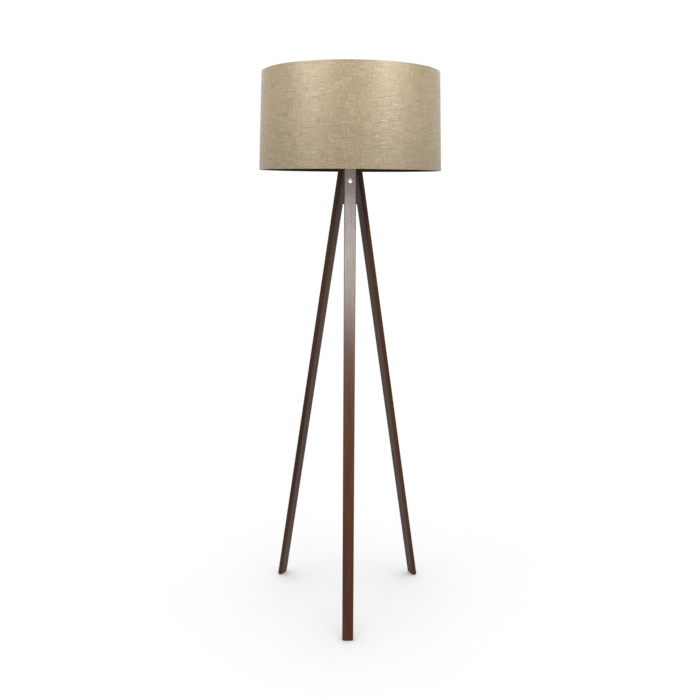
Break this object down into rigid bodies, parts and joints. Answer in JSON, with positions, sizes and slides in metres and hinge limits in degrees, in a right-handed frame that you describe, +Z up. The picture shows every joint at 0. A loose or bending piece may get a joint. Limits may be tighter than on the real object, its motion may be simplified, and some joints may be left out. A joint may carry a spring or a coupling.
{
  "type": "tripod floor lamp",
  "caption": "Floor lamp with flat splayed wooden legs bolted to a tapered hub, a lampholder with a bulb and a slightly tapered linen drum shade that turns.",
  "frame": {"origin": "on the floor, on the vertical axis of the hub and shade", "axes": "+Z up along the hub axis; one leg points towards -Y, which is the front; +X is the lamp's right as seen from the front"},
  "size_m": [0.5, 0.5046, 1.545],
  "materials": {
    "walnut_wood": "satin lacquered dark walnut",
    "hub_wood": "satin dark stained wood",
    "beech_wood": "raw",
    "felt": "matt",
    "nickel": "bright nickel plate",
    "zinc_steel": "zinc plate",
    "brass": "pressed",
    "black_plastic": "moulded",
    "ceramic": "glazed",
    "black_wire": "powder coat",
    "shade_linen": "slubby linen weave",
    "hem_linen": "folded linen band",
    "dark_liner": "matt laminate",
    "cap_metal": "bright",
    "cap_glass": "glossy",
    "white_plastic": "satin",
    "opal_plastic": "opal satin",
    "board_metal": "satin",
    "board_green": "satin"
  },
  "bodies": {
    "stand": {"leg_front": "walnut_wood", "leg_right": "walnut_wood", "leg_left": "walnut_wood", "foot_glide_front": "felt", "foot_glide_right": "felt", "foot_glide_left": "felt", "leg_bolt_front": "nickel", "leg_bolt_right": "nickel", "leg_bolt_left": "nickel", "insert_nut_front": "zinc_steel", "insert_nut_right": "zinc_steel", "insert_nut_left": "zinc_steel", "leg_dowel_front": "beech_wood", "leg_dowel_right": "beech_wood", "leg_dowel_left": "beech_wood", "hub_block": "hub_wood", "nipple": "zinc_steel", "seat_washer": "zinc_steel", "nipple_washer": "zinc_steel", "nipple_nut": "zinc_steel", "cord_bush": "black_plastic", "lampholder_base": "black_plastic", "lampholder_sleeve": "black_plastic", "lampholder_insulator": "ceramic", "lampholder_screw_shell": "brass", "lampholder_centre_contact": "brass", "terminal_screw_live": "brass", "terminal_screw_neutral": "brass", "shade_ring_lower": "black_plastic"},
    "shade": {"shade_carrier_ring": "black_wire", "shade_carrier_arm_back": "black_wire", "shade_carrier_arm_left": "black_wire", "shade_carrier_arm_right": "black_wire", "shade_fabric": "shade_linen", "shade_liner": "dark_liner", "shade_bottom_wire": "black_wire", "shade_top_wire": "black_wire", "shade_bottom_hem": "hem_linen", "shade_top_hem": "hem_linen"},
    "shade_ring": {"shade_ring_upper": "black_plastic"},
    "bulb_tip": {"bulb_contact": "cap_metal"},
    "bulb": {"bulb_cap": "cap_metal", "bulb_cap_insulator": "cap_glass", "bulb_housing": "white_plastic", "bulb_diffuser": "opal_plastic", "bulb_led_board": "board_metal", "bulb_driver_board": "board_green"}
  },
  "joints": [
    {"name": "shade_turn", "type": "hinge", "parent": "stand", "child": "shade", "pos_m": [0, 0, 1.334], "axis": [0, 0, 1], "continuous": true},
    {"name": "shade_ring_turn", "type": "hinge", "parent": "stand", "child": "shade_ring", "pos_m": [0, 0, 1.336], "axis": [0, 0, 1], "range_deg": [0, 1080]},
    {"name": "bulb_rise", "type": "slide", "parent": "stand", "child": "bulb_tip", "axis": [0, 0, 1], "range_m": [0, 0.0164]},
    {"name": "bulb_unscrew", "type": "hinge", "parent": "bulb_tip", "child": "bulb", "pos_m": [0, 0, 1.35], "axis": [0, 0, 1], "range_deg": [0, 1620]}
  ],
  "couplings": [
    {"joint": "bulb_rise", "follows": "bulb_unscrew", "m_per_rad": 0.0005775}
  ]
}
